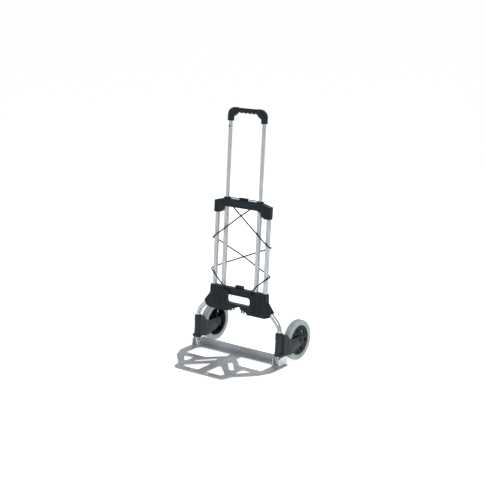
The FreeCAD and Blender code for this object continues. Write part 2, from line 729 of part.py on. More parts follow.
def wheel_hub(name, side):
    """Rim, boss, and a web with six round windows near the outer face."""
    web_in, web_out, window_out, window_r, window_turn = 7.5, 11.5, 46, 9.5, 53
    boss_out, boss_in = f"{side} * boss_half", f"{-side} * boss_half"
    rim_out, rim_in = f"{side} * hub_half", f"{-side} * hub_half"
    body = turned(f"wheel_hub_{name}", side, [
        (boss_in, "bush_r"), (boss_out, "bush_r"), (boss_out, "boss_r"),
        (side * web_out, "boss_r + 3"), (side * web_out, "tyre_inner_r - 6"),
        (rim_out, "tyre_inner_r - 4.5"), (rim_out, "tyre_inner_r"),
        (rim_in, "tyre_inner_r"), (rim_in, "tyre_inner_r - 4.5"),
        (side * web_in, "tyre_inner_r - 6"), (side * web_in, "boss_r + 3"), (boss_in, "boss_r")])
    hole = sketch_on(body, "YZ_Plane", f"{side} * wheel_x")
    for index in range(6):
        turn = f"({window_turn + 60 * index} * 1deg)"
        circle(hole, f"{WHEEL_O} + {window_out} * cos({turn})",
               f"{WHEEL_S} + {window_out} * sin({turn})", str(window_r))
    pocket(body, hole, "30", middle=True)


def hub_bush(name, side):
    turned(f"hub_bush_{name}", side, [
        ("-boss_half - 0.4", "axle_r + fit"), ("boss_half + 0.4", "axle_r + fit"),
        ("boss_half + 0.4", "bush_r"), ("-boss_half - 0.4", "bush_r")])


# ---------------------------------------------------------------------------
# Toe plate, its rear angle, the hinge ears and the hinge pins
# ---------------------------------------------------------------------------
TOE_RIGHT_HALF = [
    ("plate_half", "plate_rear"), ("plate_half", "-88"), ("plate_half - 29", "-150"),
    ("nose_half + 12", "-230"), ("nose_half", "toe_front"),
]
TOE_ROUNDS = [(1, "60"), (2, "60"), (3, "40"), (4, "25")]
WINDOWS = {
    "rear": ([("28", "-4"), ("194", "-4"), ("211", "-26"), ("211", "-105"), ("96", "-105"),
              ("28", "-40")], "8"),
    "outer": ([("134", "-136"), ("191", "-138"), ("136", "-203")], "7"),
    "diagonal": ([("40", "-88"), ("52", "-96"), ("112", "-164"), ("100", "-174"),
                  ("87", "-169"), ("30", "-105")], "5"),
    "front": ([("20", "-143"), ("20", "-251"), ("104", "-251"), ("110", "-229")], "9"),
    "rail": ([("34", "-258"), ("48", "-258"), ("48", "-271"), ("34", "-271")], "6"),
}
# The underside is hollow on each side of the spine, inside the rim
RECESS = [("18", "4"), ("200", "4"), ("244", "-22"), ("243", "-86"), ("216", "-145"),
          ("138", "-224"), ("127", "-273"), ("18", "-273")]


def toe_plate():
    body = new_body("toe_plate", leaning=False)
    face = sketch_on(body, "XY_Plane")
    outline(face, mirrored(TOE_RIGHT_HALF))
    pad(body, face, "plate")
    for index, radius in TOE_ROUNDS:
        x, y = TOE_RIGHT_HALF[index]
        spots = spots_of((x, y), (f"-({x})", y))
        soften(body, radius, corner_edges("z", spots))
    soften(body, "1.6", lambda e: rim_edges("z", value("plate"))(e) and e.BoundBox.YMax < 32)
    for points, radius in WINDOWS.values():
        for side in (-1, 1):
            corners = [(f"{side} * ({x})", y) for x, y in points]
            window = sketch_on(body, "XY_Plane", "-1")
            outline(window, corners)
            pocket(body, window, "plate + 2", back=True)
            soften(body, radius, corner_edges("z", spots_of(*corners)))
    for side in (-1, 1):
        hollow = sketch_on(body, "XY_Plane", "-1")
        outline(hollow, [(f"{side} * {x}", y) for x, y in RECESS])
        pocket(body, hollow, "plate - plate_skin + 1", back=True)
    ears = [(f"{side} * foot_x", EAR_RIVET_Y) for side in (-1, 1)]
    fastener_holes(body, "XY_Plane", LEG_RIVETS + ears, "plate", "2 * plate + 2", middle=True)


def rear_flange():
    """An angle along the rear of the plate: a leg on the plate and an upstanding leg."""
    body = new_body("rear_flange", leaning=False)
    section = sketch_on(body, "YZ_Plane")
    outline(section, [("flange_y - 20", "plate"), ("flange_y + flange", "plate"),
                      ("flange_y + flange", "flange_top"), ("flange_y", "flange_top"),
                      ("flange_y", "plate + 2.5"), ("flange_y - 20", "plate + 2.5")])
    pad(body, section, "2 * (ear_in - 0.5)", middle=True)
    top = value("flange_top")
    soften(body, "1.2", lambda e: rim_edges("z", top)(e) and e.Length > 100)
    fastener_holes(body, "XZ_Plane", FLANGE_RIVETS, "-flange_y", "2 * flange + 2", middle=True)
    fastener_holes(body, "XY_Plane", LEG_RIVETS, "plate", "6", middle=True)


def hinge_ears(name, side):
    """A clevis riveted to the plate: two ears joined by a thin base."""
    body = new_body(f"hinge_ears_{name}", leaning=False)
    centre = "plate + 0.5 * (hinge_level + pivot_rise - plate)"
    for inner in ("ear_in", "ear_out"):
        profile = sketch_on(body, "YZ_Plane", f"{side} * {inner}")
        outline(profile, [("-ear_r + 2", "plate"), ("ear_rear", "plate"),
                          ("ear_rear", "hinge_level + pivot_rise + ear_r - 4"),
                          ("ear_rear - 10", "hinge_level + pivot_rise + ear_r"),
                          ("-4", "hinge_level + pivot_rise + ear_r - 0.5"),
                          ("-ear_r * 0.75", "hinge_level + pivot_rise + ear_r * 0.62"),
                          ("-ear_r + 1", centre)])
        pad(body, profile, "ear", back=side < 0)
        if inner == "ear_in":
            base = sketch_on(body, "XY_Plane", "plate")
            outline(base, [(f"{side} * ear_in", "-ear_r + 2"),
                           (f"{side} * (ear_out + ear)", "-ear_r + 2"),
                           (f"{side} * (ear_out + ear)", "ear_rear - 11"),
                           (f"{side} * ear_in", "ear_rear - 11")])
            pad(body, base, "ear_base")
    hole = sketch_on(body, "YZ_Plane", f"{side} * foot_x")
    circle(hole, "0.2", "hinge_level + pivot_rise", "pivot_r + 0.01")
    pocket(body, hole, "80", middle=True)
    fastener_holes(body, "XY_Plane", [(f"{side} * foot_x", EAR_RIVET_Y)],
                   "plate", "2 * ear_base + 1", middle=True)


def pivot_pin(name, side):
    body = new_body(f"pivot_pin_{name}", leaning=False)
    start = f"{side} * ear_in"
    rod = sketch_on(body, "YZ_Plane", start)
    circle(rod, "0.2", "hinge_level + pivot_rise", "pivot_r")
    pad(body, rod, "ear_out + ear - ear_in", back=side < 0)
    for place, outward in (("ear_in", -side), ("ear_out + ear", side)):
        head = sketch_on(body, "YZ_Plane", f"{side} * ({place})")
        circle(head, "0.2", "hinge_level + pivot_rise", "pivot_r + 2.5")
        pad(body, head, "2", back=outward < 0)


# ---------------------------------------------------------------------------
# Fasteners: each group is one node of separate solids
# ---------------------------------------------------------------------------
def fastener_group(label, places, direction, head_r, head_t, shank, leaning):
    """Round-headed fasteners: each head stands on its place, its shank goes along direction."""
    solids = []
    for place in places:
        head = Part.makeCylinder(head_r, head_t, place, direction * -1)
        rim = [e for e in head.Edges if e.Length > 2 * math.pi * head_r - 0.1
               and abs((e.CenterOfMass - place).Length - head_t) < 0.05]
        head = head.makeFillet(head_t * 0.45, rim)
        solids.append(head.fuse(Part.makeCylinder(value("shank_r"), shank, place, direction)))
    feature = doc.addObject("Part::Feature", label)
    feature.Label = label
    feature.Shape = Part.makeCompound(solids)
    stand(feature, leaning)
    pieces.append(feature)
    return feature


def fasteners():
    forward, up = Vector(0, -1, 0), Vector(0, 0, 1)
    screw_head, rivet_head, small_head = (3.6, 1.6), (3.5, 1.4), (3.2, 1.2)
    rear, screw = value("cross_rear"), value("screw")
    for label, places in (("upper_screws", UPPER_SCREWS), ("lower_screws", LOWER_SCREWS)):
        spots = [Vector(x, rear, value(level)) for x, level in places]
        fastener_group(label, spots, forward, *screw_head, screw, True)
    corners = [Vector(side * value("sleeve_x"), value("corner_half_deep"), CORNER_RIVET_LEVEL)
               for side in (-1, 1)]
    fastener_group("handle_rivets", corners, forward, *small_head, value("corner_rivet"), True)
    risers = [Vector(x, value("flange_y"), z) for x, z in FLANGE_RIVETS]
    fastener_group("flange_rivets", risers, forward * -1, *rivet_head, 3.5, False)
    legs = [Vector(x, value(y), value("plate + 2.5")) for x, y in LEG_RIVETS]
    fastener_group("plate_rivets", legs, up * -1, *rivet_head, 6, False)
    ears = [Vector(side * value("foot_x"), EAR_RIVET_Y, value("plate + ear_base"))
            for side in (-1, 1)]
    fastener_group("ear_rivets", ears, up * -1, *rivet_head, 6, False)


# ---------------------------------------------------------------------------
# Elastic cords: from under the upper crosspiece, across the front, round an outer tube,
# back across behind all four tubes, round the other outer tube and down to the clip
# ---------------------------------------------------------------------------
# Route points of the cord that starts on the left, up to its last turn, and each cord's end:
# (x, y square to the tubes, level)
CORD_ROUTE = [
    (-52, -11.5, 655.5), (0, -14.8, 617), (89, -14.8, 550),
    (139, -15.4, 512.5), (155.5, -13, 500), (156.5, 10, 496), (139, 15.2, 489),
    (80, 14.4, 465), (0, 14.2, 431), (-80, 14.4, 398), (-139, 15.2, 372.5),
    (-156.5, 10, 365), (-155.5, -13, 360.5), (-137, -17.5, 347), (-92, -20.2, 307),
]
CORD_ENDS = {"left": (-50, -20.4, 270), "right": (76, -20.3, 288)}
FRONT_CROSSING, REAR_CROSSING, CROSSING_STEP = 1, 8, 8.5


def cord_points(name, side):
    """The route in the leaning axes: the right cord is a mirror image that crosses outside."""
    points = [Vector(side * -x, y, level) for x, y, level in CORD_ROUTE]
    if side > 0:
        points[FRONT_CROSSING].y -= CROSSING_STEP
        points[REAR_CROSSING].y += CROSSING_STEP
    return points + [Vector(*CORD_ENDS[name])]


def rounded_wire(points):
    """Straight runs joined by tangent arcs as large as the runs allow."""
    edges = []
    start = points[0]
    radii = []
    for before, corner, after in zip(points, points[1:], points[2:]):
        back, ahead = before - corner, after - corner
        turn = math.pi - back.getAngle(ahead)
        reach = 0.45 * min(back.Length, ahead.Length)
        radii.append(reach / math.tan(turn / 2))
        enter = corner + back.normalize() * reach
        leave = corner + ahead.normalize() * reach
        edges.append(Part.LineSegment(start, enter).toShape())
        edges.append(arc_by_corner(enter, corner, leave).toShape())
        start = leave
    edges.append(Part.LineSegment(start, points[-1]).toShape())
    return Part.Wire(edges), radii


def elastic_cord(name, side):
    points = cord_points(name, side)
    wire, radii = rounded_wire(points)
    first = wire.Edges[0]
    radius = value("cord_r")
    disc = Part.Wire(Part.makeCircle(radius, points[0], first.tangentAt(first.FirstParameter)))
    solid = wire.makePipeShell([disc], True, True)
    expected = math.pi * radius ** 2 * wire.Length
    if abs(solid.Volume - expected) > 0.03 * expected:
        raise RuntimeError(f"elastic_cord_{name} swept {solid.Volume} for {expected}")
    print(f"elastic_cord_{name} length {wire.Length:.0f} smallest radius {min(radii):.1f}")
    feature = doc.addObject("Part::Feature", f"elastic_cord_{name}")
    feature.Label = f"elastic_cord_{name}"
    feature.Shape = solid
    stand(feature)
    pieces.append(feature)


# ---------------------------------------------------------------------------
# Build everything
# ---------------------------------------------------------------------------
for side_name, side_sign in SIDES.items():
    outer_tube(side_name, side_sign)
    tube_end_plug(side_name, side_sign)
    tube_top_cap(side_name, side_sign)
    sleeve_tube(side_name, side_sign)
    collar(side_name, side_sign)
    lock_rod(side_name, side_sign)
    handle_tube(side_name, side_sign)
    slide_bush(side_name, side_sign)
    handle_corner(side_name, side_sign)
    cord_clip(side_name, side_sign)
    wheel_fork(side_name, side_sign)
    fork_collar(side_name, side_sign)
    axle(side_name, side_sign)
    axle_cap(side_name, side_sign)
    tyre(side_name, side_sign)
    wheel_hub(side_name, side_sign)
    hub_bush(side_name, side_sign)
    hinge_ears(side_name, side_sign)
    pivot_pin(side_name, side_sign)
    elastic_cord(side_name, side_sign)

upper_shell("upper_shell_front", True)
upper_shell("upper_shell_rear", False)
lower_shell("lower_shell_front", True)
lower_shell("lower_shell_rear", False)
release_button()
release_bar()
fold_latch()
handle_grip()
handle_core()
snap_button()
toe_plate()
rear_flange()
fasteners()
doc.recompute()

# ---------------------------------------------------------------------------
# Check and write
# ---------------------------------------------------------------------------
for item in doc.Objects:
    if "Invalid" in item.State or "Error" in item.State:
        raise RuntimeError(f"{item.Name} failed: {item.State}")
for piece in pieces:
    if piece.Shape.isNull() or not piece.Shape.isValid() or not piece.Shape.Solids:
        raise RuntimeError(f"{piece.Label} has no valid solid")

os.makedirs("parts", exist_ok=True)
for piece in pieces:
    piece.Shape.exportStep(f"parts/{piece.Label}.step")
print(f"{len(pieces)} parts written")
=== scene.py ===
import json
import math

import bmesh
import bpy
from mathutils import Matrix, Vector


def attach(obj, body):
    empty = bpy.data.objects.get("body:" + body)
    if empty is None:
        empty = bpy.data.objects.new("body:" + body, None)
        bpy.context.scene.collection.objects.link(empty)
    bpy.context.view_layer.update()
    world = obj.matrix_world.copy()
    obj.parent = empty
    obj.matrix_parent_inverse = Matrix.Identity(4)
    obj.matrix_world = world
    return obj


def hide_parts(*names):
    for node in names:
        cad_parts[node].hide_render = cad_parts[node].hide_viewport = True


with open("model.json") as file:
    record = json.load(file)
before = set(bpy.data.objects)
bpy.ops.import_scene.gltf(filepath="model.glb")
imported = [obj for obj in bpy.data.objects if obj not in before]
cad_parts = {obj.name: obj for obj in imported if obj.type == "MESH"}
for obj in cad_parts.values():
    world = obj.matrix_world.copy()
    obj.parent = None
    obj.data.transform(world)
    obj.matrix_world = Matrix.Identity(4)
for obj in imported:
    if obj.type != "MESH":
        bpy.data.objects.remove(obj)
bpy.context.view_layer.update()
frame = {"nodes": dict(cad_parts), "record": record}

# ---------------------------------------------------------------------------
# The truck's leaning axes: x across, o square to the tubes and rearwards, s along the tubes
# ---------------------------------------------------------------------------
LEAN = math.radians(4.4)
HINGE_Y = 0.028
HINGE_LEVEL = 0.021
UP = Vector((0, math.sin(LEAN), math.cos(LEAN)))
BACK = Vector((0, math.cos(LEAN), -math.sin(LEAN)))
HINGE = Vector((0, HINGE_Y, HINGE_LEVEL))
SIDES = {"left": -1, "right": 1}


def leaning(x, o, s):
    """A point given in the leaning axes, in metres."""
    return HINGE + Vector((x, 0, 0)) + BACK * o + UP * s


# ---------------------------------------------------------------------------
# Materials
# ---------------------------------------------------------------------------
TUBE_FLUTES = 12.0


def maths(tree, operation, *values):
    """One step of arithmetic on numbers and sockets."""
    made = tree.nodes.new("ShaderNodeMath")
    made.operation = operation
    for socket, value in zip(made.inputs, values):
        if isinstance(value, bpy.types.NodeSocket):
            tree.links.new(value, socket)
        else:
            socket.default_value = value
    return made.outputs["Value"]


class Look:
    """A small helper that builds one node material."""

    def __init__(self, name, colour, metallic=0.0, roughness=0.5):
        self.material = bpy.data.materials.new(name)
        self.material.use_nodes = True
        self.tree = self.material.node_tree
        self.shader = self.tree.nodes["Principled BSDF"]
        self.shader.inputs["Base Color"].default_value = (*colour, 1)
        self.shader.inputs["Metallic"].default_value = metallic
        self.shader.inputs["Roughness"].default_value = roughness
        coords = self.tree.nodes.new("ShaderNodeTexCoord").outputs
        self.coords = coords["Object"]
        self.normals = coords["Normal"]

    def node(self, kind, **inputs):
        """A new node; each input is set to a number or linked to a socket."""
        made = self.tree.nodes.new(kind)
        for key, value in inputs.items():
            socket = made.inputs[key.replace("_", " ")]
            if isinstance(value, bpy.types.NodeSocket):
                self.tree.links.new(value, socket)
            else:
                socket.default_value = value
        return made

    def stretched(self, scale, turn=(0.0, 0.0, 0.0)):
        """Object coordinates turned, then scaled along each axis."""
        mapping = self.node("ShaderNodeMapping", Vector=self.coords, Rotation=turn, Scale=scale)
        return mapping.outputs["Vector"]

    def noise(self, scale, vector=None, detail=4.0, roughness=0.55):
        made = self.node("ShaderNodeTexNoise", Vector=vector or self.coords, Scale=scale,
                         Detail=detail, Roughness=roughness)
        return made.outputs["Fac"]

    def maths(self, operation, *values):
        return maths(self.tree, operation, *values)

    def band(self, source, low, high, to_low, to_high):
        """The source's range from low to high, stretched to another range and clamped."""
        made = self.node("ShaderNodeMapRange", Value=source, From_Min=low, From_Max=high,
                         To_Min=to_low, To_Max=to_high)
        return made.outputs["Result"]

    def blend(self, factor, first, second):
        """A mix of two colours, or of a socket's colour and another."""
        made = self.tree.nodes.new("ShaderNodeMix")
        made.data_type = "RGBA"
        sockets = [s for s in made.inputs if s.enabled]
        for socket, value in zip(sockets, (factor, first, second)):
            if isinstance(value, bpy.types.NodeSocket):
                self.tree.links.new(value, socket)
            elif isinstance(value, (int, float)):
                socket.default_value = value
            else:
                socket.default_value = (*value, 1)
        return next(s for s in made.outputs if s.enabled)

    def link(self, source, target):
        self.tree.links.new(source, self.shader.inputs[target])

    def bump(self, height, strength, distance):
        made = self.node("ShaderNodeBump", Height=height, Strength=strength, Distance=distance)
        self.link(made.outputs["Normal"], "Normal")


def anodised_tube():
    """Extruded aluminium with fine flutes along it, found from the surface's own direction; the
    flute grooves carry painted shade, darkened towards near black to stand in for dark reflection
    bands along the tubes.
    """
    look = Look("anodised_tube", (0.72, 0.75, 0.78), metallic=0.85, roughness=0.26)
    parts = look.node("ShaderNodeSeparateXYZ", Vector=look.normals).outputs
    around = look.maths("ARCTAN2", parts["X"], parts["Y"])
    flutes = look.maths("SINE", look.maths("MULTIPLY", around, TUBE_FLUTES))
    # groove is the flute mask: it paints shade into the colour and also dents the bump.
    groove = look.band(flutes, 0.25, 0.80, 0.0, 1.0)
    grain = look.noise(1.0, look.stretched((900, 900, 7), (LEAN, 0, 0)), detail=3.0)
    cloud = look.noise(14.0, detail=5.0)
    metal = look.blend(look.band(cloud, 0.35, 0.7, 0.0, 0.5), (0.64, 0.67, 0.70),
                       (0.54, 0.57, 0.60))
    # Painted shade: the grooves blend the metal towards near black (0.06, 0.075, 0.09), in place of
    # dark reflections along the tubes.
    look.link(look.blend(look.maths("MULTIPLY", groove, 0.95), metal, (0.06, 0.075, 0.09)),
              "Base Color")
    look.link(look.band(grain, 0.3, 0.7, 0.20, 0.34), "Roughness")
    height = look.maths("SUBTRACT", look.maths("MULTIPLY", grain, 0.1), groove)
    look.bump(height, 0.35, 0.0006)
    return look.material


def plate_metal():
    """Stamped aluminium sheet: grain across, cloudy oxide and pale scuffs."""
    look = Look("plate_metal", (0.40, 0.42, 0.44), metallic=0.55, roughness=0.45)
    grain = look.noise(1.0, look.stretched((9, 700, 700)), detail=3.0)
    cloud = look.noise(9.0, detail=6.0)
    scuff = look.noise(1.0, look.stretched((30, 150, 60), (0, 0, 0.6)), detail=8.0)
    base = look.blend(look.band(cloud, 0.3, 0.7, 0.0, 1.0), (0.27, 0.29, 0.31),
                      (0.40, 0.42, 0.44))
    look.link(look.blend(look.band(scuff, 0.60, 0.72, 0.0, 0.45), base, (0.58, 0.59, 0.60)),
              "Base Color")
    look.link(look.band(grain, 0.3, 0.7, 0.36, 0.55), "Roughness")
    look.bump(grain, 0.15, 0.0003)
    return look.material


def bright_plate():
    """The paler, smoother aluminium of the hinge ears."""
    look = Look("bright_plate", (0.66, 0.68, 0.71), metallic=0.7, roughness=0.3)
    cloud = look.noise(40.0, detail=5.0)
    look.link(look.blend(look.band(cloud, 0.35, 0.7, 0.0, 1.0), (0.72, 0.74, 0.77),
                         (0.52, 0.54, 0.58)), "Base Color")
    look.link(look.band(cloud, 0.3, 0.7, 0.24, 0.40), "Roughness")
    look.bump(look.noise(1.0, look.stretched((12, 12, 600))), 0.1, 0.0002)
    return look.material


def moulded_plastic(name, colour, grain_size=900.0, strength=0.25, rough=(0.45, 0.62)):
    """Moulded plastic: a fine pitted grain, cloudy shine and paler rubbed streaks."""
    look = Look(name, colour, roughness=0.5)
    look.shader.inputs["Specular IOR Level"].default_value = 0.22
    grain = look.node("ShaderNodeTexVoronoi", Vector=look.coords, Scale=grain_size)
    cloud = look.noise(22.0, detail=5.0)
    rub = look.noise(1.0, look.stretched((60, 60, 240), (0.3, 0.2, 0)), detail=7.0)
    lighter = tuple(min(1.0, c * 1.6 + 0.001) for c in colour)
    rubbed = tuple(min(1.0, c * 2.6 + 0.008) for c in colour)
    base = look.blend(look.band(cloud, 0.4, 0.75, 0.0, 0.7), colour, lighter)
    look.link(look.blend(look.band(rub, 0.66, 0.76, 0.0, 0.35), base, rubbed), "Base Color")
    look.link(look.band(cloud, 0.3, 0.7, *rough), "Roughness")
    look.bump(grain.outputs["Distance"], strength, 0.0003)
    return look.material


def soft_rubber(name, colour, grain_size, spread):
    """Matt rubber with cloudy colour, darker specks and dust that dulls it unevenly."""
    look = Look(name, colour, roughness=0.72)
    look.shader.inputs["Specular IOR Level"].default_value = 0.3
    cloud = look.noise(16.0, detail=6.0)
    dust = look.noise(90.0, detail=4.0)
    speck = look.noise(420.0, detail=2.0)
    darker = tuple(c * (1 - spread) for c in colour)
    lighter = tuple(min(1.0, c * (1 + spread)) for c in colour)
    base = look.blend(look.band(cloud, 0.35, 0.65, 0.0, 1.0), darker, lighter)
    look.link(look.blend(look.band(speck, 0.55, 0.75, 0.0, 0.35), base, darker), "Base Color")
    look.link(look.band(dust, 0.3, 0.7, 0.62, 0.82), "Roughness")
    look.bump(look.noise(grain_size, detail=3.0), 0.2, 0.0004)
    return look.material


def zinc_steel(name, dark, light):
    """Plated steel, mottled between two shades."""
    look = Look(name, light, metallic=1.0, roughness=0.32)
    cloud = look.noise(220.0, detail=4.0)
    look.link(look.band(cloud, 0.3, 0.7, 0.24, 0.45), "Roughness")
    look.link(look.blend(cloud, dark, light), "Base Color")
    return look.material


def braided_cord():
    """Black braid, as slanting bands with a bump."""
    look = Look("braided_cord", (0.004, 0.004, 0.005), roughness=0.85)
    look.shader.inputs["Specular IOR Level"].default_value = 0.15
    weave = look.node("ShaderNodeTexWave", Vector=look.stretched((1, 1, 1), (0.6, 0.5, 0)),
                      Scale=170.0, Distortion=1.2)
    look.link(look.blend(weave.outputs["Fac"], (0.002, 0.002, 0.003), (0.009, 0.009, 0.011)),
              "Base Color")
    look.bump(weave.outputs["Fac"], 0.5, 0.0004)
    return look.material


LOOKS = {
    "tube": anodised_tube(),
    "plate": plate_metal(),
    "moulding": moulded_plastic("moulded_plastic", (0.0035, 0.0092, 0.0135)),
    "button": moulded_plastic("button_plastic", (0.0030, 0.0070, 0.0100), 1500.0, 0.12),
    "grip": soft_rubber("grip_rubber", (0.0040, 0.0085, 0.0120), 700.0, 0.25),
    "tyre": soft_rubber("tyre_rubber", (0.36, 0.41, 0.41), 500.0, 0.10),
    "bearing_plastic": moulded_plastic("nylon", (0.62, 0.61, 0.56), 800.0, 0.1),
    "steel": zinc_steel("zinc_steel", (0.42, 0.42, 0.41), (0.66, 0.65, 0.62)),
    "cord": braided_cord(),
}
BRIGHT_PLATE = bright_plate()
BLACK_STEEL = zinc_steel("black_steel", (0.02, 0.022, 0.025), (0.045, 0.047, 0.05))
FORK_PLASTIC = moulded_plastic("fork_plastic", (0.0200, 0.0270, 0.0340), 700.0, 0.3, (0.36, 0.5))
HUB_PLASTIC = moulded_plastic("hub_plastic", (0.0060, 0.0100, 0.0140), 900.0, 0.2, (0.38, 0.55))


def dress(item, slot, look=None):
    """Give a new piece its material: the given look, or else the one for its slot."""
    item.data.materials.clear()
    item.data.materials.append(look or LOOKS[slot])


def dress_cad(node, look):
    """Give a CAD node its material."""
    node.data.materials.clear()
    node.data.materials.append(look)


for part in frame["record"]["subparts"]:
    dress_cad(frame["nodes"][part["node"]], LOOKS[part["material_slot"]])
for cad_side in SIDES:
    dress_cad(frame["nodes"][f"hinge_ears_{cad_side}"], BRIGHT_PLATE)
    dress_cad(frame["nodes"][f"wheel_fork_{cad_side}"], FORK_PLASTIC)
    dress_cad(frame["nodes"][f"axle_{cad_side}"], BLACK_STEEL)


# ---------------------------------------------------------------------------
# Helpers for meshes: their points are (x, o, s) in millimetres, in the leaning axes
# ---------------------------------------------------------------------------
MM = 0.001
LEANING = Matrix.Translation(HINGE) @ Matrix.Rotation(-LEAN, 4, "X") @ Matrix.Scale(MM, 4)
SMOOTH_BELOW = math.radians(38)
SAME_POINT = 1e-6


def piece(name, bm, slot, body, replaced=(), look=None):
    """Make an object of the mesh, place it, smooth it, dress it and let it ride."""
    bm.transform(LEANING)
    bmesh.ops.remove_doubles(bm, verts=bm.verts, dist=SAME_POINT)
    bmesh.ops.recalc_face_normals(bm, faces=bm.faces)
    mesh = bpy.data.meshes.new(name)
    bm.to_mesh(mesh)
    bm.free()
    for polygon in mesh.polygons:
        polygon.use_smooth = True
    mesh.set_sharp_from_angle(angle=SMOOTH_BELOW)
    item = bpy.data.objects.new(name, mesh)
    bpy.context.scene.collection.objects.link(item)
    dress(item, slot, look)
    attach(item, body)
    if replaced:
        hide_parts(*replaced)


def join_rings(bm, here, there):
    """A strip of faces between two closed rings of as many vertices."""
    for i in range(len(here)):
        after = (i + 1) % len(here)
        bm.faces.new((here[i], here[after], there[after], there[i]))


def skin_loops(bm, loops, closed_run=False):
    """Join a run of equal loops with faces: capped at its ends, or joined to its own start."""
    rings = [[bm.verts.new(p) for p in loop] for loop in loops]
    pairs = list(zip(rings, rings[1:])) + ([(rings[-1], rings[0])] if closed_run else [])
    for here, there in pairs:
        join_rings(bm, here, there)
    if not closed_run:
        bm.faces.new(rings[0])
        bm.faces.new(rings[-1])


def turned(bm, profile, centre, steps=96):
    """Turn a closed profile of (across, radius) points about the X axis through centre."""
    loops = []
    for k in range(steps):
        angle = math.tau * k / steps
        loops.append([Vector(centre) + Vector((x, r * math.cos(angle), r * math.sin(angle)))
                      for x, r in profile])
    skin_loops(bm, loops, closed_run=True)


CORNER_SHARE = 0.45


def rounded_outline(corners, radius, steps=5):
    """A closed outline whose corners are rounded, each by its own radius if a list is given."""
    radii = radius if isinstance(radius, (list, tuple)) else [radius] * len(corners)
    points = []
    count = len(corners)
    for i, (corner, r) in enumerate(zip(corners, radii)):
        here = Vector(corner)
        back = Vector(corners[i - 1]) - here
        ahead = Vector(corners[(i + 1) % count]) - here
        reach = min(r, CORNER_SHARE * back.length, CORNER_SHARE * ahead.length)
        start, end = here + back.normalized() * reach, here + ahead.normalized() * reach
        for k in range(steps + 1):
            t = k / steps
            points.append(start * (1 - t) ** 2 + here * 2 * t * (1 - t) + end * t ** 2)
    return points


def inset(points, amount):
    """The outline moved inwards by the amount (anticlockwise outlines)."""
    moved = []
    count = len(points)
    for i, point in enumerate(points):
        along = points[(i + 1) % count] - points[i - 1]
        normal = Vector((-along.y, along.x))
        moved.append(point + normal.normalized() * amount if normal.length > 1e-9 else point)
    return moved


def anticlockwise(points):
    """The outline, turned round if it runs clockwise."""
    area = sum(a.x * b.y - b.x * a.y for a, b in zip(points, points[1:] + points[:1]))
    return points if area > 0 else list(reversed(points))


EDGE_SHARE = 0.3


def slab(bm, points, low, high, bevel, place):
    """A raised panel: the outline from low to high with a rounded upper edge."""
    points = anticlockwise(points)
    sign = 1 if high > low else -1
    edge = EDGE_SHARE * bevel
    steps = [(points, low), (points, high - sign * bevel),
             (inset(points, edge), high - sign * edge), (inset(points, bevel), high)]
    skin_loops(bm, [[place(p.x, p.y, level) for p in outline] for outline, level in steps])


def gusset(bm, points, half, bevel):
    """A panel as deep on both sides of the tubes' plane, rounded at both faces."""
    points = anticlockwise(points)
    edge = EDGE_SHARE * bevel
    steps = [(bevel, -half), (edge, -half + edge), (0.0, -half + bevel),
             (0.0, half - bevel), (edge, half - edge), (bevel, half)]
    skin_loops(bm, [[on_face(p.x, p.y, level) for p in inset(points, amount)]
                    for amount, level in steps])


def on_face(x, s, o):
    """Place for slabs drawn on a crosspiece: outline in x and s, thickness in o."""
    return Vector((x, o, s))


def on_side(o, s, x):
    """Place for slabs drawn on a wheel fork: outline in o and s, thickness in x."""
    return Vector((x, o, s))


def swept(bm, path, sections):
    """Skin the sections along a path whose stations are (centre, first axis, second axis)."""
    loops = []
    for (centre, u, v), section in zip(path, sections):
        loops.append([Vector(centre) + Vector(u) * a + Vector(v) * b for a, b in section])
    skin_loops(bm, loops)


def superellipse(half_a, half_b, power, steps=28):
    """A closed section between an ellipse (power 2) and a rectangle (a high power)."""
    points = []
    for k in range(steps):
        angle = math.tau * k / steps
        cosine, sine = math.cos(angle), math.sin(angle)
        points.append((math.copysign(abs(cosine) ** (2 / power), cosine) * half_a,
                       math.copysign(abs(sine) ** (2 / power), sine) * half_b))
    return points


# ---------------------------------------------------------------------------
# Elastic cords, along the same route as their solids: the left cord's, mirrored for the right
# ---------------------------------------------------------------------------
CORD_ROUTE = [
    (-52, -11.5, 655.5), (0, -14.8, 617), (89, -14.8, 550),
    (139, -15.4, 512.5), (155.5, -13, 500), (156.5, 10, 496), (139, 15.2, 489),
    (80, 14.4, 465), (0, 14.2, 431), (-80, 14.4, 398), (-139, 15.2, 372.5),
    (-156.5, 10, 365), (-155.5, -13, 360.5), (-137, -17.5, 347), (-92, -20.2, 307),
]
CORD_ENDS = {"left": (-50, -20.4, 270), "right": (76, -20.3, 288)}
FRONT_CROSSING, REAR_CROSSING = 1, 8
CROSSING_STEP = 8.5
CORD_RADIUS = 0.0028


def spline_length(item):
    """The length of a curve's own centre line."""
    bevel = item.data.bevel_depth
    item.data.bevel_depth = 0
    bpy.context.view_layer.update()
    evaluated = item.evaluated_get(bpy.context.evaluated_depsgraph_get())
    mesh = bpy.data.meshes.new_from_object(evaluated)
    item.data.bevel_depth = bevel
    points = [v.co for v in mesh.vertices]
    total = sum((b - a).length for a, b in zip(points, points[1:]))
    bpy.data.meshes.remove(mesh)
    return total


